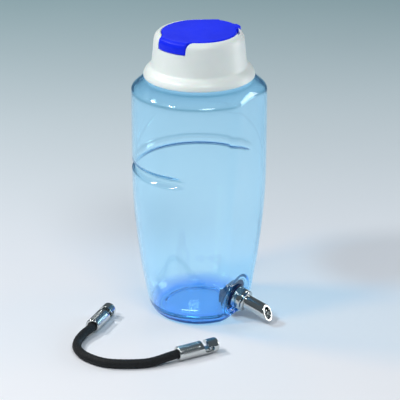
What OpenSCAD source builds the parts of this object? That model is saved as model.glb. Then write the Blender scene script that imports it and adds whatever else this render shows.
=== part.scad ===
// Top-fill cage drinking bottle: clear body with one flat face, screw cap with a
// flip lid, sprung drinking nozzle, and a loose elastic strap with slotted hooks.
// Frame: origin on the bottle's axis at its base, +Z up, the flat face towards -Y.

/* [Bottle] */
// Wall thickness of the bottle
wall = 1.8; // [1.5:0.1:2.1]
// Height of the strap groove's centre
groove_z = 120.5; // [110:0.5:130]
// Radius of the strap groove's round section
groove_r = 3.6; // [3.5:0.1:4.2]
// Half of the arc that the groove covers, measured from the back
groove_half_angle = 108; // [95:1:112]

/* [Neck and cap] */
// Pitch of the neck thread
thread_pitch = 4; // [4:1:4]
// Number of thread turns
thread_turns = 1.25; // [1:0.25:1.25]
// Radius of the fill spout under the lid
spout_r = 20; // [19.6:0.1:20.2]
// Radius of the flip lid's disc
lid_r = 27.5; // [27:0.1:27.6]
// Half width of the lid's thumb tab
tab_half_w = 12.6; // [11:0.1:14]
// Half width of the lid's hinge block
hinge_half_w = 16.6; // [15:0.1:16.8]
// Radius of the hinge pin
pin_r = 1.2; // [1:0.1:1.4]

/* [Nozzle] */
// Downward tilt of the nozzle
nozzle_tilt = 15; // [12:1:17]
// Outer radius of the drinking tube
tube_r = 5.5; // [5:0.1:5.7]
// Radius of the valve pin
valve_pin_r = 1.75; // [1.4:0.05:1.9]

/* [Strap] */
// Diameter of the elastic cord
cord_d = 6.8; // [6:0.1:7]
// Length of each hook
hook_len = 33; // [31:0.5:35]
// Radius of each hook
hook_r = 5.5; // [5.2:0.1:5.5]

/* [Hidden] */
$fn = 96;

// outer profile of the bottle, radius and height
BODY = [[38.7, 8], [40.9, 18], [42.6, 28], [44.4, 38], [45.8, 49], [47, 59], [48, 69],
        [49, 79], [49.7, 89], [50.2, 99], [50.4, 109], [50.4, 140], [50.4, 160],
        [50.35, 172], [50.3, 178.2]];
neck_r = 29.6;
neck_in = 27.6;
neck_top = 207;
axis_x = 25.5;      // lid hinge axis, from the bottle's axis
axis_z = 218;
hinge_turn = -8;    // direction of the lid's hinge, degrees from +X
deck_z = 208.8;
heel_r = 6.7;

function flat_d(z) = 32.5 + 0.1426 * z - 0.00036 * z * z;

module turned_yz() { rotate([90, 0, 90]) linear_extrude(140, center = true) children(); }
module hinge_frame() { rotate([0, 0, hinge_turn]) children(); }
// local +Z runs out along the nozzle, local +Y is up
module nozzle_frame() { translate([0, -32.3, 16.9]) rotate([90 + nozzle_tilt, 0, 0]) children(); }
module ring(ro, ri, z0, z1) {
  translate([0, 0, z0]) difference() {
    cylinder(r = ro, h = z1 - z0);
    translate([0, 0, -1]) cylinder(r = ri, h = z1 - z0 + 2);
  }
}

// one thread ridge along a helix, closed at both ends
module ridge(r_root, r_crest, z0, turns) {
  steps = round(36 * turns);
  pts = [for (i = [0:steps]) let (
           a = 360 * turns * i / steps,
           z = z0 + thread_pitch * turns * i / steps,
           e = min(1, 0.12 + min(i, steps - i) / 4),
           rc = r_root + (r_crest - r_root) * e)
         for (p = [[r_root, -1.1], [rc, -0.45], [rc, 0.45], [r_root, 1.1]])
           [p[0] * cos(a), p[0] * sin(a), z + p[1]]];
  sides = [for (i = [0:steps - 1]) for (j = [0:3]) let (
             a = 4 * i + j, b = 4 * i + (j + 1) % 4)
           for (f = [[a, a + 4, b], [b, a + 4, b + 4]]) f];
  n = 4 * steps;
  flip = r_crest > r_root;
  faces = concat(sides, [[0, 1, 2], [0, 2, 3]], [[n + 2, n + 1, n], [n + 3, n + 2, n]]);
  polyhedron(points = pts, faces = flip ? [for (f = faces) [f[2], f[1], f[0]]] : faces, convexity = 6);
}

module body_outer() {
  intersection() {
    rotate_extrude() polygon(concat(
      [[0, 2.2], [25, 2.2], [27, 0], [33.2, 0], [35, 1.2], [36.6, 3.6]], BODY,
      [[49.7, 179.8], [49, 180.6], [42.2, 186.8], [41, 187.5], [33, 189.4], [30.4, 190.8], [neck_r, 192.6],
       [neck_r, neck_top - 0.6], [neck_r - 0.6, neck_top], [0, neck_top]]));
    turned_yz() polygon(concat(
      [[-30.8, -1], [-30.8, 0], [-32.6, 2.6]], [for (z = [8:11:184]) [-flat_d(z), z]],
      [[-46.6, 190], [-46.6, 215], [60, 215], [60, -1]]));
  }
}
module body_inner() {
  intersection() {
    rotate_extrude() polygon(concat(
      [[0, 4.2], [27.4, 4.2], [33.8, 5], [36.6, 9.4]], [for (i = [1:len(BODY) - 2]) [BODY[i][0] - wall, BODY[i][1]]],
      [[48.5, 177.2], [47.4, 178.8], [41, 184.9], [32.4, 187.4], [28.6, 189.6], [neck_in, 192.6], [neck_in, 215], [0, 215]]));
    turned_yz() polygon(concat(
      [[-31.4, 0], [-31.6, 5], [-31.9, 9]], [for (z = [19:11:184]) [-flat_d(z) + wall, z]],
      [[-44.8, 190], [-44.8, 220], [60, 220], [60, 0]]));
  }
}
module groove(r, half) {
  rotate([0, 0, 90 - half]) rotate_extrude(angle = 2 * half)
    translate([51.4, groove_z]) circle(r = r, $fn = 48);
}

module bottle_body() color([0.62, 0.84, 0.95, 0.45]) {
  difference() {
    union() {
      difference() {
        body_outer();
        difference() {
          body_inner();
          groove(groove_r + 1.6, groove_half_angle + 2);
        }
      }
      intersection() {
        body_outer();
        nozzle_frame() translate([0, 0, -2]) cylinder(r = 16.8, h = 12);
      }
    }
    groove(groove_r, groove_half_angle);
    nozzle_frame() cylinder(r = 15, h = 20);
    nozzle_frame() translate([0, 0, -6]) cylinder(r = 5.1, h = 12);
  }
  ridge(neck_r - 0.5, neck_r + 1.2, 196.6, thread_turns);
}

module cap_gasket() color("gainsboro") ring(31, neck_in + 0.2, 207.3, 208.5);

module screw_cap() color([0.93, 0.94, 0.9]) {
  hinge_frame() difference() {
    union() {
      rotate_extrude() polygon([
        [39.4, 189.1], [40.9, 189.1], [41.3, 189.5], [41.3, 190], [41.1, 191.1], [40.6, 192.4],
        [39.8, 193.7], [38.7, 195], [37.3, 196.1], [36.2, 196.9], [35.4, 198], [35, 199.6],
        [34.7, 201.5], [34.2, 207], [33.8, 212], [33.4, 216.4], [32.9, 218.6], [31.9, 220.3],
        [30.6, 221.5], [29.2, 222.2], [28.2, 222.3], [28, 222.1], [28, 210.8], [21.8, 210.8], [21.8, 217.7], [spout_r, 217.7],
        [spout_r, deck_z], [31.3, deck_z], [31.3, 195.4], [32.5, 194.4], [35, 193.2], [38.4, 190.8]]);
      // bosses that hold the ends of the hinge pin
      for (s = [-1, 1]) intersection() {
        translate([axis_x - 2.6, s > 0 ? hinge_half_w + 0.4 : -hinge_half_w - 6.4, 209.5]) cube([6.6, 6, 11]);
        translate([0, 0, 209]) cylinder(r = 31.4, h = 12);
      }
    }
    // pocket for the hinge block
    translate([22.3, -hinge_half_w - 0.4, 210.8]) cube([20, 2 * hinge_half_w + 0.8, 20]);
    // relief beside the hinge, where the opening lid's edge swings past the rim
    intersection() {
      translate([12, -40, 218.4]) cube([40, 80, 10]);
      cylinder(r = lid_r + 2.4, h = 230);
    }
    // notch for the thumb tab
    intersection() {
      translate([-50, -tab_half_w - 0.5, 213.6]) cube([40, 2 * tab_half_w + 1, 20]);
      ring(60, 30.8, 200, 240);
    }
    translate([-50, -tab_half_w - 0.5, 219]) cube([28, 2 * tab_half_w + 1, 20]);
    // pin hole
    translate([axis_x, -19.85, axis_z]) rotate([-90, 0, 0]) cylinder(r = pin_r + 0.03, h = 39.7, $fn = 48);
  }
  ridge(31.8, neck_r + 0.45, 196.6 + thread_pitch / 2, thread_turns);
}

module hinge_pin() color("silver") hinge_frame()
  translate([axis_x, -19.8, axis_z]) rotate([-90, 0, 0]) cylinder(r = pin_r, h = 39.6, $fn = 48);

module flip_lid() color([0.08, 0.2, 0.95]) hinge_frame() difference() {
  union() {
    rotate_extrude() polygon([[0, 219.4], [lid_r - 0.2, 219.4], [lid_r, 219.8], [lid_r, 222.2],
      [lid_r - 0.8, 222.8], [0, 223]]);
    // plug skirt that closes the spout
    ring(spout_r - 1.2, spout_r - 3, 213.4, 220);
    // hinge block: plate, barrel and heel
    translate([0, hinge_half_w, 0]) rotate([90, 0, 0]) linear_extrude(2 * hinge_half_w) {
      polygon([[14, 219.4], [14, 222.8], [axis_x, 222.8], [axis_x, 219.4]]);
      translate([axis_x, axis_z]) circle(r = 3.2, $fn = 48);
    }
    // heel behind the pin, rounded so that it turns down into the cap's pocket
    intersection() {
      translate([0, hinge_half_w, 0]) rotate([90, 0, 0]) linear_extrude(2 * hinge_half_w) intersection() {
        translate([axis_x, axis_z]) circle(r = heel_r, $fn = 64);
        translate([axis_x - 0.5, axis_z - 0.4]) square([10, 5.2]);
      }
      cylinder(r = 33, h = 300);
    }
    // thumb tab: plate and lip, following the cap's round side
    intersection() {
      rotate_extrude() polygon([[18, 219.4], [31.2, 219.4], [31.2, 214.2], [33.2, 214], [33.5, 214.4],
        [33.5, 218.8], [33.1, 220.6], [32, 222], [30, 222.7], [18, 222.8]]);
      translate([-50, -tab_half_w, 200]) cube([40, 2 * tab_half_w, 40]);
    }
  }
  translate([axis_x, -30, axis_z]) rotate([-90, 0, 0]) cylinder(r = pin_r + 0.06, h = 60, $fn = 48);
}
module lid_seal() color("lightgray") ring(21.5, spout_r - 1.15, 218.05, 219.4);

module outer_washer() color([0.15, 0.2, 0.35]) nozzle_frame() ring(9.4, 5, 0, 1.2);

module nozzle_hub() color("silver") nozzle_frame() difference() {
  union() {
    translate([0, 0, 1.2]) cylinder(r1 = 8.6, r2 = 8.2, h = 8);
    translate([0, 0, -9]) cylinder(r = 5, h = 12);
  }
  translate([0, 0, -10]) cylinder(r = 3.9, h = 12.4);
  translate([0, 0, 2]) cylinder(r = 2.6, h = 4);
  translate([0, 0, 4]) cylinder(r = tube_r + 0.03, h = 12);
}
module hub_end_ring() color("silver") nozzle_frame() ring(8.2, tube_r + 0.03, 9.2, 11);

module drinking_tube() color("silver") nozzle_frame() difference() {
  translate([0, 0, 4]) cylinder(r = tube_r, h = 34);
  translate([0, 0, 3]) cylinder(r = tube_r - 1.9, h = 40);
  translate([0, 0, 30.25]) rotate([-37.7, 0, 0]) translate([-20, -20, 0]) cube([40, 40, 40]);
}
module inner_washer() color([0.2, 0.25, 0.4]) nozzle_frame() difference() {
  translate([0, 0, -4.4]) { cylinder(r1 = 12, r2 = 12.9, h = 0.9); translate([0, 0, 0.9]) cylinder(r = 12.9, h = 1.5); }
  translate([0, 0, -5]) cylinder(r = 5, h = 4);
}
module lock_nut() color("silver") nozzle_frame() translate([0, 0, -7.8]) difference() {
  cylinder(r = 9.5, h = 3.4, $fn = 6);
  translate([0, 0, -1]) cylinder(r = 5, h = 6);
}
module valve_seat_ring() color([0.2, 0.2, 0.2]) nozzle_frame() ring(3.9, 2.4, 1, 2.4);

module valve_pin() color("silver") nozzle_frame() {
  translate([0, 0, -1.6]) cylinder(r = 3.4, h = 2.3);
  cylinder(r = valve_pin_r, h = 28);
  translate([0, 0, 28]) cylinder(r1 = valve_pin_r, r2 = valve_pin_r - 0.7, h = 0.8);
}

// sweep of a ring of sides along points, for the spring
module coil(r, wire, z0, z1, turns, sides) {
  steps = 18 * turns;
  c = [for (i = [0:steps]) [r * cos(20 * i), r * sin(20 * i), z0 + (z1 - z0) * i / steps]];
  pts = [for (i = [0:steps]) for (j = [0:sides - 1]) let (a = 20 * i, b = 360 * j / sides, q = r + wire * cos(b))
         [q * cos(a), q * sin(a), c[i][2] + wire * sin(b)]];
  side_faces = [for (i = [0:steps - 1]) for (j = [0:sides - 1]) let (a = sides * i + j, b = sides * i + (j + 1) % sides)
                for (f = [[a, b, a + sides], [b, b + sides, a + sides]]) f];
  n = sides * steps;
  polyhedron(points = pts, faces = concat(side_faces, [[for (j = [0:sides - 1]) sides - 1 - j]],
    [[for (j = [0:sides - 1]) n + j]]), convexity = 8);
}
module valve_spring() color("gray") nozzle_frame() coil(2.9, 0.35, -7.1, -2.2, 4, 6);

module spring_retainer() color("silver") nozzle_frame() translate([0, 0, -9]) difference() {
  cylinder(r = 3.9, h = 1.4);
  translate([0, 0, -1]) cylinder(r = 1.1, h = 4, $fn = 32);
  for (a = [30:60:330]) rotate([0, 0, a]) translate([2.5, 0, -1]) cylinder(r = 0.7, h = 4, $fn = 24);
}

// Strap: each hook has its cord end and its direction over the ground
left_at = [-83.2, 42.8, 5.5];
left_turn = 11;
right_at = [-86.8, -35.4, 5.5];
right_turn = -29;
// the cord's route, lying on the ground and rising into each hook
ROUTE = [[-73.4, 44.7, 5.5], [-83.2, 42.8, 5.5], [-88.2, 42, 5.4], [-95.5, 42.2, 4.6], [-105, 40.4, 3.6],
         [-114, 35, 3.4], [-120, 26.5, 3.4], [-122.5, 17.5, 3.4], [-123, 8, 3.4], [-121, -0.5, 3.4],
         [-115, -11.5, 3.4], [-107.5, -21.5, 3.5], [-100.5, -27.2, 4.1], [-93, -31.9, 5.1],
         [-86.8, -35.4, 5.5], [-78, -40.3, 5.5]];

function cr(p, q, r, s, t) = 0.5 * (2 * q + (r - p) * t + (2 * p - 5 * q + 4 * r - s) * t * t
                             + (3 * q - p - 3 * r + s) * t * t * t);
function route_at(i, t) = let (m = len(ROUTE) - 1)
  cr(ROUTE[max(0, i - 1)], ROUTE[i], ROUTE[min(m, i + 1)], ROUTE[min(m, i + 2)], t);
function unit(v) = v / norm(v);

module hook_frame(at, turn) { translate(at) rotate([0, 0, turn]) rotate([0, 90, 0]) rotate([0, 0, 90]) children(); }
// local +Z runs along the hook to its tip, local +Y is up
module hook() {
  difference() {
    union() {
      cylinder(r1 = hook_r - 0.5, r2 = hook_r, h = 0.6);
      translate([0, 0, 0.6]) cylinder(r = hook_r, h = hook_len - 2.2);
      translate([0, 0, hook_len - 1.6]) cylinder(r1 = hook_r, r2 = hook_r - 1.4, h = 1.6);
    }
    translate([0, 0, -1]) cylinder(r = cord_d / 2 + 0.2, h = 17);
    // slot for a cage wire: in from the top, then towards the tip
    rotate([0, -90, 0]) linear_extrude(20, center = true) {
      polygon([[19.2, 7], [20.6, -0.4], [21.4, -1.6], [22.6, -2.1], [26.5, -2.1], [26.5, 0.6], [24, 1.1], [24, 7]]);
      translate([26.5, 0]) circle(r = 2.1, $fn = 48);
    }
  }
}
module crimp() translate([0, 0, 10.4]) cylinder(r = cord_d / 2 + 0.2, h = 3.2);

module strap_cord() color([0.1, 0.1, 0.1]) {
  sides = 10;
  m = len(ROUTE) - 1;
  c = [for (i = [0:m - 1]) for (t = [0, 0.5]) route_at(i, t), ROUTE[m]];
  k = len(c) - 1;
  pts = [for (i = [0:k]) let (
           d = unit(c[min(k, i + 1)] - c[max(0, i - 1)]),
           u = unit(cross(d, [0, 0, 1])), w = cross(u, d))
         for (j = [0:sides - 1]) let (a = 360 * j / sides)
           c[i] + cord_d / 2 * (cos(a) * u + sin(a) * w)];
  side_faces = [for (i = [0:k - 1]) for (j = [0:sides - 1]) let (a = sides * i + j, b = sides * i + (j + 1) % sides)
                for (f = [[a, b, a + sides], [b, b + sides, a + sides]]) f];
  polyhedron(points = pts, faces = concat(side_faces, [[for (j = [0:sides - 1]) sides - 1 - j]],
    [[for (j = [0:sides - 1]) sides * k + j]]), convexity = 6);
}
module hook_left() color("silver") hook_frame(left_at, left_turn) hook();
module hook_right() color("silver") hook_frame(right_at, right_turn) hook();
module crimp_left() color("gray") hook_frame(left_at, left_turn) crimp();
module crimp_right() color("gray") hook_frame(right_at, right_turn) crimp();

bottle_body();
cap_gasket();
screw_cap();
hinge_pin();
flip_lid();
lid_seal();
outer_washer();
nozzle_hub();
hub_end_ring();
drinking_tube();
inner_washer();
lock_nut();
valve_seat_ring();
valve_pin();
valve_spring();
spring_retainer();
strap_cord();
hook_left();
hook_right();
crimp_left();
crimp_right();
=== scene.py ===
import bpy
import bmesh
import math
import numpy as np
from mathutils import Matrix, Vector


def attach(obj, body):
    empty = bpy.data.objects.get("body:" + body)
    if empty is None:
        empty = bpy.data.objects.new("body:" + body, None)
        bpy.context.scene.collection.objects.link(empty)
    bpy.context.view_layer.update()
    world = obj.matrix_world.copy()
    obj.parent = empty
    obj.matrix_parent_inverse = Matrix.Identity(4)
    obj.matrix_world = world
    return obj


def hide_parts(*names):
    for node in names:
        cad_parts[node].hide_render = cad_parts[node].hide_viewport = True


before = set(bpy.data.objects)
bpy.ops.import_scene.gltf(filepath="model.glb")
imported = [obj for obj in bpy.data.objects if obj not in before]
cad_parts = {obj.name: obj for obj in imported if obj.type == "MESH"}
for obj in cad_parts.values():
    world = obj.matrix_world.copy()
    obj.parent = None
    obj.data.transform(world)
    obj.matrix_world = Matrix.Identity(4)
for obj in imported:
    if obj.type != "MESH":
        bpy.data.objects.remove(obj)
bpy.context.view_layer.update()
MM = 0.001
PI = math.pi

# ---------------------------------------------------------------- camera
AZ, EL = math.radians(-58.0), math.radians(22.85)
back = Vector((math.sin(AZ) * math.cos(EL), -math.cos(AZ) * math.cos(EL), math.sin(EL)))
right = Vector((math.cos(AZ), math.sin(AZ), 0))
cam_data = bpy.data.cameras.new("camera")
cam_data.lens, cam_data.sensor_width = 166.5, 36.0
cam_data.clip_start, cam_data.clip_end = 0.05, 50
cam = bpy.data.objects.new("camera", cam_data)
bpy.context.scene.collection.objects.link(cam)
cam.location = (Vector((0, 0, 88.5)) + right * 0.6 + back * 1402.6) * MM
cam.rotation_mode = "QUATERNION"
cam.rotation_quaternion = (-back).to_track_quat("-Z", "Y")
bpy.context.scene.camera = cam
bpy.context.scene.view_settings.view_transform = "Standard"


# ---------------------------------------------------------------- mesh helpers
def make(name, verts, faces, smooth=True, xf=None):
    """A mesh object from points in millimetres, with outward normals."""
    me = bpy.data.meshes.new(name)
    v = np.asarray(verts, float)
    if xf is not None:
        v = v @ np.array(xf.to_3x3()).T + np.array(xf.translation)
    me.from_pydata((v * MM).tolist(), [], [list(f) for f in faces])
    me.validate()
    bm = bmesh.new()
    bm.from_mesh(me)
    bmesh.ops.remove_doubles(bm, verts=bm.verts, dist=1e-7)
    bmesh.ops.dissolve_degenerate(bm, dist=1e-7, edges=bm.edges)
    bmesh.ops.recalc_face_normals(bm, faces=bm.faces)
    bm.to_mesh(me)
    bm.free()
    o = bpy.data.objects.new(name, me)
    bpy.context.scene.collection.objects.link(o)
    if smooth:
        smooth_angle(o)
    return o


def smooth_angle(o, degrees=38):
    """Smooth shading, with edges sharper than the angle left crisp."""
    me = o.data
    me.polygons.foreach_set("use_smooth", [True] * len(me.polygons))
    bm = bmesh.new()
    bm.from_mesh(me)
    lim = math.radians(degrees)
    for e in bm.edges:
        e.smooth = not (len(e.link_faces) == 2 and e.calc_face_angle(0) > lim)
    bm.to_mesh(me)
    bm.free()
    me.update()


def grid_faces(rows, cols, wrap=True, base=0):
    f = []
    m = cols if wrap else cols - 1
    for i in range(rows - 1):
        for j in range(m):
            a, b = base + i * cols + j, base + i * cols + (j + 1) % cols
            f.append((a, b, b + cols, a + cols))
    return f


def rings(name, loops, close_start=True, close_end=True, join_ends=False, xf=None, smooth=True):
    """Skin over rings of equal point count, closed by a fan at each end, or end to end."""
    n = len(loops[0])
    verts = [p for l in loops for p in l]
    faces = grid_faces(len(loops), n)
    if join_ends:
        k = (len(loops) - 1) * n
        faces += [(k + j, k + (j + 1) % n, (j + 1) % n, j) for j in range(n)]
    else:
        for end, want in ((0, close_start), (len(loops) - 1, close_end)):
            if want:
                c = np.mean(np.asarray(loops[end], float), axis=0)
                verts.append(tuple(c))
                for j in range(n):
                    faces.append((len(verts) - 1, end * n + j, end * n + (j + 1) % n))
    return make(name, verts, faces, smooth=smooth, xf=xf)


def turned(name, profile, n=128, xf=None, closed=False):
    """A solid of revolution about Z. closed joins the last profile point to the first."""
    loops = []
    ang = [2 * PI * j / n for j in range(n)]
    for r, z in profile:
        loops.append([(max(r, 0) * math.cos(a), max(r, 0) * math.sin(a), z) for a in ang])
    return rings(name, loops, join_ends=closed, xf=xf)


def rounded(pts, radius=0.5, steps=4, closed=True):
    """Round the corners of a profile polygon. A point may carry its own radius as a third value."""
    out, n = [], len(pts)
    for i, p in enumerate(pts):
        rad = p[2] if len(p) > 2 else radius
        if not closed and i in (0, n - 1) or rad <= 0:
            out.append((p[0], p[1]))
            continue
        a, b, c = (Vector(pts[(i + k) % n][:2]) for k in (-1, 0, 1))
        u, v = (a - b), (c - b)
        lu, lv = u.length, v.length
        if lu < 1e-6 or lv < 1e-6:
            out.append((p[0], p[1]))
            continue
        u, v = u / lu, v / lv
        ang = u.angle(v)
        if ang > PI - 0.05:
            out.append((p[0], p[1]))
            continue
        t = min(rad / math.tan(ang / 2), 0.48 * lu, 0.48 * lv)
        p0, p2 = b + u * t, b + v * t
        for k in range(steps + 1):
            s = k / steps
            q = p0 * (1 - s) ** 2 + b * 2 * s * (1 - s) + p2 * s * s
            out.append((q.x, q.y))
    return out


def cut(obj, *cutters):
    for c in cutters:
        m = obj.modifiers.new("cut", "BOOLEAN")
        m.operation, m.solver, m.object = "DIFFERENCE", "EXACT", c
        apply_modifiers(obj)
        bpy.data.objects.remove(c)
    return obj


def apply_modifiers(obj):
    dg = bpy.context.evaluated_depsgraph_get()
    dg.update()
    me = bpy.data.meshes.new_from_object(obj.evaluated_get(dg))
    obj.modifiers.clear()
    obj.data = me


def prism(name, outline, axis, lo, hi, xf=None):
    """Outline of 2-D points extruded along Z (axis 'z') or Y (axis 'y')."""
    loops = []
    for h in (lo, hi):
        loops.append([(x, y, h) if axis == "z" else (x, h, y) for x, y in outline])
    n = len(outline)
    verts = loops[0] + loops[1]
    faces = [tuple(range(n))[::-1], tuple(range(n, 2 * n))]
    faces += [(j, (j + 1) % n, n + (j + 1) % n, n + j) for j in range(n)]
    return make(name, verts, faces, smooth=False, xf=xf)


def smin(a, b, k):
    h = np.clip(0.5 + 0.5 * (b - a) / k, 0, 1)
    return b + (a - b) * h - k * h * (1 - h)


def smax(a, b, k):
    return -smin(-a, -b, k)


def step01(x):
    x = np.clip(x, 0, 1)
    return x * x * (3 - 2 * x)


def catmull(points, per):
    """Points on a smooth curve through the given ones."""
    P = [Vector(p) for p in points]
    m, out = len(P) - 1, []
    for i in range(m):
        a, b, c, d = P[max(0, i - 1)], P[i], P[i + 1], P[min(m, i + 2)]
        for k in range(per):
            t = k / per
            out.append(0.5 * (2 * b + (c - a) * t + (2 * a - 5 * b + 4 * c - d) * t * t
                              + (3 * b - a - 3 * c + d) * t ** 3))
    out.append(P[m])
    return out


def resample(pts, spacing):
    """Points evenly spaced along a polyline."""
    P = np.array([tuple(p) for p in pts])
    s = np.concatenate([[0], np.cumsum(np.linalg.norm(np.diff(P, axis=0), axis=1))])
    n = max(2, int(round(s[-1] / spacing)) + 1)
    t = np.linspace(0, s[-1], n)
    return np.stack([np.interp(t, s, P[:, k]) for k in range(P.shape[1])], 1), s[-1]


# ---------------------------------------------------------------- material helpers
class Mat:
    """A Principled material with helper nodes."""

    def __init__(self, name, **values):
        self.m = bpy.data.materials.new(name)
        self.m.use_nodes = True
        self.nt = self.m.node_tree
        self.b = self.nt.nodes["Principled BSDF"]
        self.out = self.nt.nodes["Material Output"]
        for k, v in values.items():
            self.b.inputs[k.replace("_", " ")].default_value = v
        self.co = self.nt.nodes.new("ShaderNodeTexCoord")

    def node(self, kind, **props):
        n = self.nt.nodes.new(kind)
        for k, v in props.items():
            setattr(n, k, v)
        return n

    def link(self, a, b):
        self.nt.links.new(a, b)

    def mapped(self, scale=(1, 1, 1), rot=(0, 0, 0)):
        m = self.node("ShaderNodeMapping")
        m.inputs["Scale"].default_value = scale
        m.inputs["Rotation"].default_value = rot
        self.link(self.co.outputs["Object"], m.inputs["Vector"])
        return m.outputs["Vector"]

    def noise(self, scale, detail=3, rough=0.55, vec=None):
        n = self.node("ShaderNodeTexNoise")
        n.inputs["Scale"].default_value = scale
        n.inputs["Detail"].default_value = detail
        n.inputs["Roughness"].default_value = rough
        self.link(vec or self.co.outputs["Object"], n.inputs["Vector"])
        return n.outputs["Fac"]

    def ramp(self, fac, stops):
        r = self.node("ShaderNodeValToRGB")
        e = r.color_ramp.elements
        while len(e) < len(stops):
            e.new(0.5)
        for el, (pos, col) in zip(e, stops):
            el.position = pos
            el.color = (*col, 1) if len(col) == 3 else col
        self.link(fac, r.inputs["Fac"])
        return r.outputs["Color"]

    def span(self, fac, lo, hi, f0=0.3, f1=0.7):
        r = self.node("ShaderNodeMapRange")
        r.inputs["From Min"].default_value, r.inputs["From Max"].default_value = f0, f1
        r.inputs["To Min"].default_value, r.inputs["To Max"].default_value = lo, hi
        self.link(fac, r.inputs["Value"])
        return r.outputs["Result"]

    def bump(self, height, strength, distance):
        b = self.node("ShaderNodeBump")
        b.inputs["Strength"].default_value = strength
        b.inputs["Distance"].default_value = distance
        self.link(height, b.inputs["Height"])
        self.link(b.outputs["Normal"], self.b.inputs["Normal"])

    def color(self, c):
        self.link(c, self.b.inputs["Base Color"])

    def roughness(self, c):
        self.link(c, self.b.inputs["Roughness"])


def plastic(name, c0, c1, rough0, rough1, bump=0.06, grain=900, **kw):
    m = Mat(name, **kw)
    m.color(m.ramp(m.noise(38, 4), [(0.3, c0), (0.7, c1)]))
    m.roughness(m.span(m.noise(120, 4), rough0, rough1))
    m.bump(m.noise(grain, 2), bump, 0.0002)
    return m


def metal(name, c0, c1, rough0, rough1, bump=0.04, stretch=(60, 60, 900)):
    m = Mat(name, Metallic=1.0)
    v = m.mapped(stretch)
    m.color(m.ramp(m.noise(1.0, 4, 0.6, v), [(0.3, c0), (0.7, c1)]))
    m.roughness(m.span(m.noise(55, 4), rough0, rough1))
    m.bump(m.noise(1.0, 3, 0.6, v), bump, 0.0001)
    return m


M_CAP = plastic("cap_white", (0.82, 0.88, 0.85), (0.88, 0.93, 0.90), 0.30, 0.42, Subsurface_Weight=0.12,
                Subsurface_Scale=0.004)
M_LID = plastic("lid_blue", (0.0012, 0.018, 0.88), (0.003, 0.024, 1.0), 0.40, 0.52, Specular_IOR_Level=0.22)
M_STEEL = metal("steel", (0.54, 0.56, 0.56), (0.68, 0.69, 0.67), 0.05, 0.10, 0.015)
M_SATIN = metal("steel_satin", (0.45, 0.46, 0.47), (0.60, 0.60, 0.60), 0.28, 0.42)
M_RUBBER = plastic("seal_rubber", (0.003, 0.007, 0.045), (0.008, 0.015, 0.085), 0.3, 0.42, 0.1, Specular_IOR_Level=0.35)
M_SEALW = plastic("seal_white", (0.62, 0.63, 0.60), (0.72, 0.72, 0.70), 0.5, 0.65)

# clear blue plastic: tinted through its thickness and deeper in the thick base; the deeper tint from the shoulder up is
# painted shade, where the steeply seen walls look darker
M_BOT = Mat("bottle_clear", Roughness=0.02, IOR=1.47, Transmission_Weight=1.0)
sep = M_BOT.node("ShaderNodeSeparateXYZ")
M_BOT.link(M_BOT.co.outputs["Object"], sep.inputs["Vector"])
height = M_BOT.span(sep.outputs["Z"], 0, 1, 0.0, 0.2)
# ramp over height: deep blue in the thick base, pale in the body, and painted shade from the shoulder up
M_BOT.color(M_BOT.ramp(height, [(0.0, (0.40, 0.52, 1.0)), (0.022, (0.46, 0.59, 1.0)), (0.06, (0.91, 0.985, 1.0)),
                                (0.5, (0.92, 0.995, 1.0)), (0.895, (0.91, 0.985, 1.0)), (0.92, (0.82, 0.94, 1.0)),
                                (1.0, (0.82, 0.94, 1.0))]))
M_BOT.roughness(M_BOT.span(M_BOT.noise(60, 3), 0.01, 0.035))
M_BOT.bump(M_BOT.noise(26, 2, 0.4), 0.10, 0.0015)
# painted glow: a faint blue emission that brightens the plastic, standing in for light scattered in the walls
M_BOT.b.inputs["Emission Color"].default_value = (0.02, 0.42, 1.0, 1)
M_BOT.b.inputs["Emission Strength"].default_value = 0.035
ab = M_BOT.node("ShaderNodeVolumeAbsorption")
ab.inputs["Color"].default_value = (0.10, 0.74, 0.99, 1)
ab.inputs["Density"].default_value = 90.0
M_BOT.link(ab.outputs["Volume"], M_BOT.out.inputs["Volume"])
# lamps reach through the clear walls, tinted, so what stands inside and below is lit
path = M_BOT.node("ShaderNodeLightPath")
thru = M_BOT.node("ShaderNodeBsdfTransparent")
thru.inputs["Color"].default_value = (0.90, 0.96, 0.99, 1)
mixs = M_BOT.node("ShaderNodeMixShader")
either = M_BOT.node("ShaderNodeMath", operation="MAXIMUM")
M_BOT.link(path.outputs["Is Shadow Ray"], either.inputs[0])
M_BOT.link(path.outputs["Is Diffuse Ray"], either.inputs[1])
M_BOT.link(either.outputs["Value"], mixs.inputs[0])
M_BOT.link(M_BOT.b.outputs["BSDF"], mixs.inputs[1])
M_BOT.link(thru.outputs["BSDF"], mixs.inputs[2])
M_BOT.link(mixs.outputs["Shader"], M_BOT.out.inputs["Surface"])

M_CORD = Mat("cord_black", Roughness=0.6, Specular_IOR_Level=0.35)
M_CORD.color(M_CORD.ramp(M_CORD.noise(420, 4), [(0.3, (0.0015, 0.002, 0.003)), (0.7, (0.006, 0.008, 0.010))]))
M_CORD.roughness(M_CORD.span(M_CORD.noise(900, 3), 0.5, 0.8))
M_CORD.bump(M_CORD.noise(2600, 2), 0.25, 0.0002)


def wear(obj, mat, body, slot, *nodes):
    obj.data.materials.clear()
    obj.data.materials.append(mat.m)
    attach(obj, body)
    if nodes:
        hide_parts(*nodes)
    return obj


# ---------------------------------------------------------------- strap: route in millimetres, as in the CAD model
CORD_R = 3.4
ROUTE = [(-73.4, 44.7, 5.5), (-83.2, 42.8, 5.5), (-88.2, 42, 5.4), (-95.5, 42.2, 4.6), (-105, 40.4, 3.6),
         (-114, 35, 3.4), (-120, 26.5, 3.4), (-122.5, 17.5, 3.4), (-123, 8, 3.4), (-121, -0.5, 3.4),
         (-115, -11.5, 3.4), (-107.5, -21.5, 3.5), (-100.5, -27.2, 4.1), (-93, -31.9, 5.1),
         (-86.8, -35.4, 5.5), (-78, -40.3, 5.5)]
HOOKS = {"left": ((-83.2, 42.8, 5.5), 11.0), "right": ((-86.8, -35.4, 5.5), -29.0)}

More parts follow.
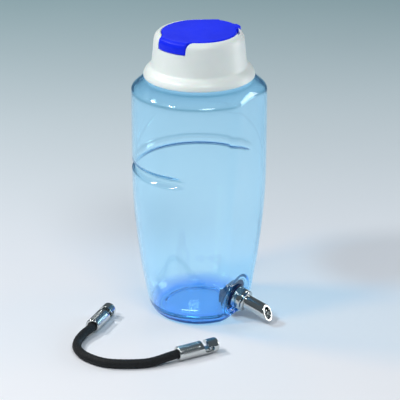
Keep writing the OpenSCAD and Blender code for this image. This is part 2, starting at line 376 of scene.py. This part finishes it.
line, cord_len = resample(catmull(ROUTE, 24), 0.34)
N_CORD = 72
loops = []
YARNS, YARN_PITCH = 12, 1.95
for i, p in enumerate(line):
    d = line[min(i + 1, len(line) - 1)] - line[max(i - 1, 0)]
    d /= np.linalg.norm(d)
    u = np.cross(d, (0, 0, 1.0))
    u /= np.linalg.norm(u)
    w = np.cross(u, d)
    s = i * 0.34
    ring_pts = []
    for j in range(N_CORD):
        a = 2 * PI * j / N_CORD
        pa, qa = YARNS * j / N_CORD + s / YARN_PITCH / 2, YARNS * j / N_CORD - s / YARN_PITCH / 2
        over = (math.floor(pa) + math.floor(qa)) % 2
        f = (pa if over else qa) % 1.0
        g = (qa if over else pa) % 1.0
        h = math.sin(PI * f) ** 0.5 * (0.62 + 0.38 * math.sin(PI * g))
        r = CORD_R - 0.34 + 0.33 * h
        ring_pts.append(p + r * (math.cos(a) * u + math.sin(a) * w))
    loops.append(ring_pts)
cord = rings("strap_braid", loops)
cord.data.polygons.foreach_set("use_smooth", [True] * len(cord.data.polygons))
wear(cord, M_CORD, "strap", "cord_black", "strap_cord")


def hook(side):
    at, turn = HOOKS[side]
    xf = Matrix.Translation(at) @ Matrix.Rotation(math.radians(turn), 4, "Z")
    n, r0, L = 144, 5.5, 33.0
    xs = [0.0, 0.15, 0.5, 1.0, 1.35] + list(np.arange(1.5, 16.3, 0.27)) + [16.5, 16.9, 17.6] \
        + list(np.arange(18.5, 30.5, 0.75)) + [31.2, 31.8, 32.3, 32.7, 32.9, 33.0]
    loops = []
    for x in xs:
        if x < 0.5:
            base = r0 - 0.5 + 0.5 * math.sin(min(1, x / 0.5) * PI / 2)
        elif x > 31.2:
            t = (x - 31.2) / 1.8
            base = r0 - 1.8 * (1 - math.sqrt(max(0, 1 - t * t)))
        else:
            base = r0
        neck = 0.22 * (step01((x - 1.0) / 0.5) - step01((x - 16.3) / 0.6))
        pts = []
        for j in range(n):
            a = 2 * PI * j / n
            k = 0.0
            if 1.4 < x < 16.6:
                edge = min(1, (x - 1.4) / 0.5, (16.6 - x) / 0.5)
                p, q = 20 * a / (2 * PI) + (x - 1.4) / 1.75, 20 * a / (2 * PI) - (x - 1.4) / 1.75
                k = 0.22 * edge * (1 - abs(2 * (p % 1) - 1)) ** 0.7 * (1 - abs(2 * (q % 1) - 1)) ** 0.7
            r = base - max(neck, 0) + k
            pts.append((x, r * math.cos(a), r * math.sin(a)))
        loops.append(pts)
    # back in through the cord socket
    for x, r in [(0.0, 3.95), (0.35, 3.62), (0.8, 3.6), (15.6, 3.6), (16.0, 3.2), (16.0, 1.5)]:
        loops.insert(0, [(x, r * math.cos(2 * PI * j / n), r * math.sin(2 * PI * j / n)) for j in range(n)])
    o = rings("hook_" + side + "_body", loops, xf=xf)
    # slot for the cage wire: in from the top, then towards the tip
    out = [(19.2, 7.5), (20.6, -0.4), (20.9, -1.1), (21.5, -1.7), (22.6, -2.1)]
    seat = [(26.5 + 2.1 * math.cos(t), 2.1 * math.sin(t)) for t in np.linspace(-PI / 2, PI / 2 + 0.55, 18)]
    out += seat + [(24.9, 1.05), (24.4, 1.25), (24.05, 1.7), (24.0, 2.4), (24.0, 7.5)]
    c = prism("cutter", out, "y", -9, 9, xf=xf)
    cut(o, c)
    b = o.modifiers.new("edge", "BEVEL")
    b.width, b.segments, b.limit_method, b.angle_limit = 0.00022, 2, "ANGLE", math.radians(62)
    b.use_clamp_overlap = True
    apply_modifiers(o)
    smooth_angle(o, 40)
    return wear(o, M_STEEL, "strap", "steel", "hook_" + side)


hooks = [hook("left"), hook("right")]

# ---------------------------------------------------------------- bottle
BODY = [(36.6, 3.6), (37.7, 5.6), (38.7, 8), (40.9, 18), (42.6, 28), (44.4, 38), (45.8, 49), (47, 59), (48, 69),
        (49, 79), (49.7, 89), (50.2, 99), (50.4, 109), (50.45, 125), (50.4, 140), (50.4, 160), (50.35, 172),
        (50.3, 178.2)]
GZ, GR, GC = 120.5, 3.6, 51.4
P0 = np.array((0, -32.3, 16.9))
TILT = math.radians(15)
NV = np.array((0, -math.cos(TILT), -math.sin(TILT)))
dense = resample([Vector((p[0], p[1])) for p in catmull([(r, z, 0) for r, z in BODY], 16)], 0.25)[0]


def body_r(z):
    return np.interp(z, dense[:, 1], dense[:, 0])


def flat_d(z):
    return 32.5 + 0.1426 * z - 0.00036 * z * z


def columns():
    """Directions of the mesh columns, closer together at the nozzle and at the groove's ends."""
    a, out = -126.0, []
    while a < 233.6:
        out.append(a)
        off = abs((a - 90 + 180) % 360 - 180)
        a += 0.75 if a < -54 else 1.0 if 90 < off < 112 else 2.2
    return np.radians(np.array(out))


PHI = columns()
COS_F = np.cos(PHI + PI / 2)  # 1 straight out of the flat face


def plane_r(d):
    return np.where(COS_F > 0.05, d / np.maximum(COS_F, 0.05), 900.0)


def surface(rows, inner):
    """Radius at every row and column. Each row is (profile radius, height, flat's distance or None)."""
    R = np.zeros((len(rows), len(PHI)))
    wall = 1.8 if inner else 0.0
    k = 3.6 if inner else 3.0
    rb = (36.6 - wall) if inner else 36.6
    base_ratio = smin(np.full_like(PHI, rb), plane_r(flat_d(3.6) - wall * 0.7), k) / rb
    for i, (r0, z) in enumerate(rows):
        if z < 3.6 or r0 < 34 and z < 8:
            w = step01((r0 - 20) / 13.0)
            R[i] = r0 * (1 + (base_ratio - 1) * w)
            continue
        r = np.full_like(PHI, r0)
        if z < 186:
            blend = step01((z - 3.6) / 3.0)
            d = flat_d(z) - wall
            r = smin(r, plane_r(d), k)
            r = (1 - blend) * r0 * base_ratio + blend * r
        # strap groove, run out at both ends
        dz = abs(z - GZ)
        if dz < 9:
            off = np.abs((np.degrees(PHI) - 90 + 180) % 360 - 180)
            t = np.clip((off - (111 - 19)) / 19, 0, 1)
            shift = GR * (1 - np.sqrt(np.maximum(0, 1 - t * t)))
            rad = GR + (1.6 if inner else 0)
            if inner:
                shift = shift * 1.25
            c = math.sqrt(max(rad * rad - dz * dz, 0)) if dz < rad else -(dz - rad) * 3
            g = GC + shift - c
            r = smin(r, g, 2.0 if inner else 1.6)
        # neck thread
        if not inner and 194.5 < z < 204.5:
            ph = (np.degrees(PHI) % 360) / 360
            best = np.zeros_like(PHI)
            for turn in (0, 1):
                tt = ph + turn
                live = np.clip(np.minimum(tt, 1.25 - tt) / 0.1, 0, 1)
                d = np.abs(z - (196.6 + 4 * tt))
                best = np.maximum(best, live * np.clip((1.15 - d) / 0.7, 0, 1))
            r = r + 1.2 * best
        R[i] = r
    # nozzle seat: a round pocket square to the nozzle
    zz = np.array([z for _, z in rows])
    live = np.where((zz > 0.3) & (zz < 36))[0]
    cols = np.where(COS_F > 0.78)[0]
    off, rad, kk = (2.0, 15.4, 3.2) if inner else (0.0, 13.8, 2.4)
    for i in live:
        r_out = R[i, cols]
        tests = np.linspace(-8.5, 0.6, 120)[None, :] + r_out[:, None]
        x, y = tests * np.cos(PHI[cols])[:, None], tests * np.sin(PHI[cols])[:, None]
        q = np.stack([x - P0[0], y - P0[1], np.full_like(x, zz[i] - P0[2])], -1)
        s = q @ NV
        rad_d = np.sqrt(np.maximum(np.sum(q * q, -1) - s * s, 0))
        pocket = np.maximum(-(s + off), rad_d - rad)
        f = smax(tests - r_out[:, None], -pocket, kk)
        hit = f > 0
        k0 = np.argmax(hit, axis=1)
        for c, k1 in enumerate(k0):
            if hit[c].any() and k1 > 0:
                f0, f1 = f[c, k1 - 1], f[c, k1]
                R[i, cols[c]] = min(r_out[c], tests[c, k1 - 1] + (tests[c, k1] - tests[c, k1 - 1]) * (-f0) / (f1 - f0))
    return R


def zlist(pairs):
    out = []
    for a, b, s in pairs:
        out += list(np.arange(a, b - 1e-6, s))
    return out


OUT_ROWS = [(6, 3.0), (12, 2.9), (17, 2.7), (21, 2.35), (23.5, 1.8), (25, 1.1), (26.2, 0.45), (27.4, 0.1), (28.6, 0.0),
            (30.2, 0.0), (31.8, 0.02), (33.0, 0.22), (34.1, 0.62), (35.0, 1.2), (35.7, 1.95), (36.2, 2.75)]
OUT_ROWS += [(float(body_r(z)), z) for z in zlist([(3.6, 35, 0.55), (35, 112, 2.6), (112, 129, 0.5), (129, 175, 2.6),
                                                  (175, 178.2, 0.8)])]
OUT_ROWS += [(50.27, 178.4), (50.2, 178.9), (50.02, 179.4), (49.7, 179.9), (49.2, 180.45), (48.4, 181.2),
             (47.2, 182.25), (45.6, 183.7), (44, 185.15), (42.95, 186.1), (42.2, 186.7), (41.2, 187.3), (40, 187.75),
             (38, 188.2), (35, 188.9), (33, 189.4), (31.6, 190.0), (30.4, 190.9), (29.8, 191.9)]
OUT_ROWS += [(29.6, z) for z in zlist([(192.6, 206.4, 0.35)])] + [(29.55, 206.6), (29.3, 206.88), (28.9, 207.0),
                                                                 (28.2, 207.0)]
IN_ROWS = [(6, 6.4), (12, 6.3), (17, 6.1), (21, 5.7), (24, 5.0), (26.5, 4.2), (28.8, 3.6), (31, 3.55), (32.8, 4.1),
           (34.0, 5.0), (35.0, 6.2), (35.9, 7.8)]
IN_ROWS += [(float(body_r(z)) - 1.8, z) for z in zlist([(9.4, 36, 0.6), (36, 110, 2.9), (110, 131, 0.6), (131, 176, 3)])]
IN_ROWS += [(48.5, 176.6), (48.4, 177.3), (48.15, 178.0), (47.7, 178.7), (46.9, 179.5), (45.6, 180.7), (43.5, 182.6),
            (41.6, 184.3), (40.4, 185.1), (38, 186.0), (34.5, 186.9), (31.5, 187.8), (29.4, 189.2), (28.2, 191), (27.7, 193), (27.6, 196),
            (27.6, 200), (27.6, 204), (27.6, 206.5), (27.75, 206.85), (28.0, 207.0)]


def shell():
    outer, inner = surface(OUT_ROWS, False), surface(IN_ROWS, True)
    n = len(PHI)
    loops = []
    for R, rows in ((outer, OUT_ROWS), (inner, IN_ROWS)):
        part = []
        for i, (_, z) in enumerate(rows):
            part.append([(R[i, j] * math.cos(PHI[j]), R[i, j] * math.sin(PHI[j]), z) for j in range(n)])
        loops.append(part)
    all_loops = loops[0] + loops[1][::-1]
    verts = [p for l in all_loops for p in l]
    faces = grid_faces(len(all_loops), n)
    verts += [(0, 0, 3.02), (0, 0, 6.42)]
    a, b, last = len(verts) - 2, len(verts) - 1, (len(all_loops) - 1) * n
    faces += [(a, (j + 1) % n, j) for j in range(n)]
    faces += [(b, last + j, last + (j + 1) % n) for j in range(n)]
    o = make("bottle_shell", verts, faces, smooth=False)
    o.data.polygons.foreach_set("use_smooth", [True] * len(o.data.polygons))
    return o


NZ = Matrix.Translation(P0) @ Matrix.Rotation(math.radians(105), 4, "X")
bottle = shell()
# the hole the nozzle passes through
cut(bottle, turned("cutter", [(5.1, -14), (5.1, 6)], 64, xf=NZ))
bottle.data.polygons.foreach_set("use_smooth", [True] * len(bottle.data.polygons))
wear(bottle, M_BOT, "bottle", "bottle_clear", "bottle_body")

# ---------------------------------------------------------------- lid and cap
TURN = Matrix.Rotation(math.radians(-8.0), 4, "Z")
TAB_W, HINGE_W, LID_R = 12.6, 16.6, 27.5


def lid_sdf(x, y):
    """Distance to the lid's outline in plan, blended at the corners."""
    disc = np.hypot(x, y) - LID_R
    r = np.hypot(x, y)
    tab = np.where(x < 0, smax(np.abs(y) - TAB_W, r - 33.5, 1.6), 50.0)
    side = np.where(y > 0, y - HINGE_W + 2.4, -y - HINGE_W)
    hinge = np.where(x > 0, smax(side, r - 32.9, np.where(y > 0, 14.0, 1.2)), 50.0)
    return smin(smin(disc, tab, 5.8), hinge, np.where(y > 0, 4.6, 1.0))


LN = 560
LPHI = np.linspace(0, 2 * PI, LN, endpoint=False)


def iso(level):
    """Radius of the outline moved in (negative) or out, for every direction."""
    lo, hi = np.full(LN, 15.0), np.full(LN, 42.0)
    for _ in range(40):
        mid = (lo + hi) / 2
        inside = lid_sdf(mid * np.cos(LPHI), mid * np.sin(LPHI)) < level
        lo, hi = np.where(inside, mid, lo), np.where(inside, hi, mid)
    return (lo + hi) / 2


def lid_mesh():
    cx, sx = np.cos(LPHI), np.sin(LPHI)

    def top(r):
        x, y = r * cx, r * sx
        z = 223.0 - 0.25 * (np.minimum(r, 28) / 28) ** 2
        roll = np.interp(r, [28.6, 29.8, 30.8, 31.6, 32.3, 32.8, 33.15, 33.35, 33.5, 33.6],
                         [0, 0.06, 0.24, 0.58, 1.05, 1.6, 2.3, 2.9, 3.5, 3.9])
        heel = 218 + np.sqrt(np.maximum(6.7 ** 2 - np.maximum(x - 25.5, 0) ** 2, 0.4))
        return np.where(x < 0, z - roll, np.minimum(z, heel))

    def loop(r, z):
        return [(r[j] * cx[j], r[j] * sx[j], z[j]) for j in range(LN)]

    full = iso(0.0)
    ones = np.ones(LN)
    loops = []
    edge = iso(-0.9)
    for r in (4, 9, 14, 18, 21, 23.5):
        loops.append(loop(ones * r, top(ones * r)))
    for f in (0.2, 0.4, 0.6, 0.8, 1.0):
        r = 23.5 + (edge - 23.5) * f
        loops.append(loop(r, top(r)))
    for d, drop in ((0.62, 0.05), (0.38, 0.16), (0.2, 0.32), (0.07, 0.55), (0.0, 0.85)):
        r = iso(-d)
        loops.append(loop(r, top(r) - drop))
    is_tab = (cx < 0) & (full > 31.2)
    is_heel = (cx > 0) & (full > 28.2)
    zb = np.where(is_tab, 214.0, np.where(is_heel, 217.6, 219.4))
    zt = top(full) - 0.85
    zt = np.maximum(zt, zb + 0.5)
    for f in (0.25, 0.5, 0.75):
        loops.append(loop(full, zt + (zb + 0.35 - zt) * f))
    loops.append(loop(full, zb + 0.35))
    loops.append(loop(iso(-0.12), zb + 0.1))
    loops.append(loop(iso(-0.4), zb))
    lip = np.minimum(iso(-0.9), 31.2)
    loops.append(loop(np.where(is_heel, full - 0.9, lip), zb))
    zi = np.where(is_heel, 217.6, 219.4)
    loops.append(loop(np.where(is_heel, np.maximum(full - 1.2, 26), lip), zi))
    loops.append(loop(ones * 25.6, np.where(is_heel, 217.6, 219.4)))
    for r, z in ((25.0, 219.4), (18.8, 219.4), (18.8, 214.0), (18.4, 213.5), (17.4, 213.4), (17, 213.9), (17, 219.2),
                 (10, 219.4)):
        loops.append(loop(ones * r, ones * z))
    return rings("lid_shell", loops, xf=TURN)


lid = lid_mesh()
smooth_angle(lid, 34)
wear(lid, M_LID, "lid", "lid_blue", "flip_lid")
barrel = turned("lid_hinge_barrel", rounded([(1.28, -16.4), (3.2, -16.4), (3.2, 16.4), (1.28, 16.4)], 0.35), 64,
                xf=TURN @ Matrix.Translation((25.5, 0, 218)) @ Matrix.Rotation(PI / 2, 4, "X"), closed=True)
wear(barrel, M_LID, "lid", "lid_blue")

cap_out = catmull([(41.25, 189.8, 0), (41.15, 190.8, 0), (40.75, 192.0, 0), (40.0, 193.35, 0), (38.9, 194.7, 0),
                   (37.5, 195.9, 0), (36.4, 196.7, 0), (35.65, 197.6, 0), (35.2, 199.1, 0), (34.85, 201.4, 0),
                   (34.5, 205, 0), (34.1, 209, 0), (33.75, 213, 0), (33.4, 216.2, 0), (33.0, 218.3, 0),
                   (32.25, 219.9, 0), (31.2, 221.1, 0), (30.0, 221.9, 0)], 4)
cap_profile = [(39.9, 189.1), (40.6, 189.1), (41.0, 189.2), (41.2, 189.45)] + [(p.x, p.y) for p in cap_out] \
    + [(29.3, 222.2), (28.65, 222.25), (28.2, 222.05), (28, 221.5)] \
    + rounded([(28, 220.0), (28, 210.8, 0.9), (21.8, 210.8, 0.7), (21.8, 217.7, 0.5), (20.0, 217.7, 0.7),
               (20.0, 208.8, 0.5), (31.3, 208.8, 0.6), (31.3, 195.4), (32.5, 194.3), (35, 193.1), (38.4, 190.8)],
              0.3, 4, closed=False)
cap = turned("cap_shell", cap_profile, 256, xf=TURN, closed=True)

tab_iso = iso(0.42)
cut_a = prism("cutter", [(tab_iso[j] * math.cos(LPHI[j]), tab_iso[j] * math.sin(LPHI[j])) for j in range(0, LN, 2)],
              "z", 219.0, 235, xf=TURN)
# thumb notch: outside radius 30.8, between the tab's sides
w = TAB_W + 0.42
arc = [(30.8 * math.cos(t), 30.8 * math.sin(t)) for t in np.linspace(PI - 0.5, PI + 0.5, 31)]
outline = [(x, y) for x, y in arc if abs(y) < w]
outline = [(-math.sqrt(30.8 ** 2 - w * w), w)] + outline + [(-math.sqrt(30.8 ** 2 - w * w), -w), (-44, -w), (-44, w)]
cut_b = prism("cutter", outline, "z", 213.6, 235, xf=TURN)
cut_c = prism("cutter", [(22.3, -HINGE_W - 0.4), (44, -HINGE_W - 0.4), (44, HINGE_W + 0.4), (22.3, HINGE_W + 0.4)],
              "z", 210.3, 235, xf=TURN)
# relief beside the hinge, where the opening lid's edge swings past the rim
half = math.acos(12 / 29.9)
cut_d = prism("cutter", [(29.9 * math.cos(t), 29.9 * math.sin(t)) for t in np.linspace(-half, half, 61)],
              "z", 218.4, 235, xf=TURN)
cut(cap, cut_a, cut_b, cut_c, cut_d)
bv = cap.modifiers.new("edge", "BEVEL")
bv.width, bv.segments, bv.limit_method, bv.angle_limit = 0.0003, 2, "ANGLE", math.radians(50)
apply_modifiers(cap)
smooth_angle(cap, 40)
wear(cap, M_CAP, "cap", "cap_white", "screw_cap")

# ---------------------------------------------------------------- nozzle
washer = turned("washer_outer", rounded([(5.1, 0.0), (9.5, 0.0), (9.5, 1.2), (5.1, 1.2)], 0.3), 96, xf=NZ, closed=True)
wear(washer, M_RUBBER, "bottle", "seal_rubber", "outer_washer")
hub = turned("hub_body", rounded([
    (5.02, -9), (5.02, 1.2, 0.1), (8.1, 1.2, 0.3), (8.6, 1.7, 0.3), (8.6, 2.6, 0.2), (8.45, 2.9, 0.15), (8.5, 3.2, 0.15),
    (8.35, 7.6, 0.5), (8.2, 8.5, 0.3), (7.5, 9.0, 0.25), (5.52, 9.2, 0.2), (5.52, 4.0, 0.1), (2.6, 4.0, 0.1),
    (2.6, 2.4, 0.1), (3.88, 2.4, 0.1), (3.88, -9, 0.2)], 0.2), 128, xf=NZ, closed=True)
wear(hub, M_STEEL, "bottle", "steel", "nozzle_hub")
ring = turned("end_ring", rounded([(5.52, 9.2), (7.2, 9.25, 0.1), (7.7, 9.5, 0.2), (8.2, 9.6, 0.25), (8.25, 10.2, 0.25),
                                   (8.0, 10.6, 0.2), (7.6, 10.8, 0.2), (7.2, 11.0, 0.25), (5.52, 11.0, 0.15)], 0.2),
              128, xf=NZ, closed=True)
wear(ring, M_STEEL, "bottle", "steel", "hub_end_ring")


def tube():
    n, ro, ri = 128, 5.5, 3.6
    ang = [2 * PI * j / n for j in range(n)]

    def end(y):
        return 30.25 - 0.773 * y

    loops = []
    for s in (4.0, 4.3, 7.0, 11.0, 11.4, 14, 17, 20, 23, 25.2):
        loops.append([((ro - (0.15 if s == 4.0 else 0)) * math.cos(a), (ro - (0.15 if s == 4.0 else 0)) * math.sin(a), s)
                      for a in ang])
    for inset, down in ((0.0, 0.75), (0.06, 0.4), (0.22, 0.14), (0.5, 0.02), (0.85, 0.0)):
        r = ro - inset
        loops.append([(r * math.cos(a), r * math.sin(a), end(r * math.sin(a)) - down) for a in ang])
    for inset, down in ((0.75, 0.0), (0.35, 0.05), (0.12, 0.22), (0.0, 0.6)):
        r = ri + inset
        loops.append([(r * math.cos(a), r * math.sin(a), end(r * math.sin(a)) - down) for a in ang])
    for s in (24.5, 18, 10, 4.0):
        loops.append([(ri * math.cos(a), ri * math.sin(a), s) for a in ang])
    return rings("drink_tube", loops, join_ends=True, xf=NZ)


wear(tube(), M_STEEL, "bottle", "steel", "drinking_tube")
flange = turned("inner_flange", rounded([(5.05, -2.0), (12.9, -2.0, 0.5), (12.9, -3.4, 0.6), (12.0, -4.4, 0.6),
                                         (9.4, -4.4, 0.3), (8.9, -4.1, 0.2), (5.05, -4.1, 0.1)], 0.3), 128, xf=NZ,
                closed=True)
wear(flange, M_RUBBER, "bottle", "seal_rubber", "inner_washer")

for name, mat in (("cap_gasket", M_SEALW), ("lid_seal", M_SEALW), ("hinge_pin", M_SATIN), ("lock_nut", M_RUBBER),
                  ("valve_seat_ring", M_RUBBER), ("valve_pin", M_STEEL), ("valve_spring", M_SATIN),
                  ("spring_retainer", M_SATIN), ("crimp_left", M_SATIN), ("crimp_right", M_SATIN)):
    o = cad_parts[name]
    o.data.materials.clear()
    o.data.materials.append(mat.m)

# ---------------------------------------------------------------- floor and light
fm = Mat("floor", Roughness=0.7)
fsep = fm.node("ShaderNodeSeparateXYZ")
fm.link(fm.mapped(rot=(0, 0, -AZ)), fsep.inputs["Vector"])
# painted shade: the floor is painted darker with distance away from the camera, in place of the lamps' falloff
away = fm.span(fsep.outputs["Y"], 0, 1, -0.2, 1.0)
painted_falloff = fm.ramp(away, [(0.0, (0.93, 0.94, 0.98)), (0.25, (0.83, 0.87, 0.93)), (0.5, (0.68, 0.77, 0.82)),
                      (0.9, (0.42, 0.60, 0.64))])
mixc = fm.node("ShaderNodeMix", data_type="RGBA", blend_type="MULTIPLY")
mixc.inputs["Factor"].default_value = 1.0
fm.link(painted_falloff, mixc.inputs["A"])
fm.link(fm.ramp(fm.noise(3, 2), [(0.3, (0.97, 0.97, 0.97)), (0.7, (1, 1, 1))]), mixc.inputs["B"])
fm.color(mixc.outputs["Result"])
bpy.ops.mesh.primitive_plane_add(size=12, location=(0, 0, 0))
floor = bpy.context.object
floor.name = "floor"
floor.data.materials.append(fm.m)

world = bpy.data.worlds.new("world")
bpy.context.scene.world = world
world.use_nodes = True
bg = world.node_tree.nodes["Background"]
bg.inputs["Color"].default_value = (0.72, 0.88, 1.0, 1)
bg.inputs["Strength"].default_value = 0.14


def area(name, loc, aim, size, power, color=(1, 1, 1)):
    d = bpy.data.lights.new(name, "AREA")
    d.shape, d.size, d.size_y, d.energy, d.color = "RECTANGLE", size[0], size[1], power, color
    o = bpy.data.objects.new(name, d)
    bpy.context.scene.collection.objects.link(o)
    o.location = loc
    o.rotation_mode = "QUATERNION"
    o.rotation_quaternion = (Vector(aim) - Vector(loc)).to_track_quat("-Z", "Y")
    return o


def spot(a, r, z):
    """A place at image angle a (0 right, 90 towards the camera), radius and height."""
    t = math.radians(a)
    c = Vector((math.sin(AZ), -math.cos(AZ), 0))
    v = right * math.cos(t) + c * math.sin(t)
    return (v.x * r, v.y * r, z)


area("key", spot(192, 1.0, 1.05), (0, 0, 0.1), (0.26, 0.08), 7.4, (1.0, 0.99, 0.97))
area("front_left", spot(150, 0.85, 1.15), (0, 0, 0.1), (0.20, 0.12), 5.4, (1.0, 0.99, 0.98))
area("front", spot(75, 0.85, 1.15), (0, 0, 0.1), (0.46, 0.24), 5.2, (0.97, 0.99, 1.0))
area("right", spot(345, 1.2, 0.34), (0, 0, 0.12), (0.42, 0.70), 5.4, (1.0, 1.0, 1.0))
area("back", spot(262, 1.1, 1.1), (0, 0, 0.05), (0.25, 0.12), 1.4, (0.95, 0.98, 1.0))
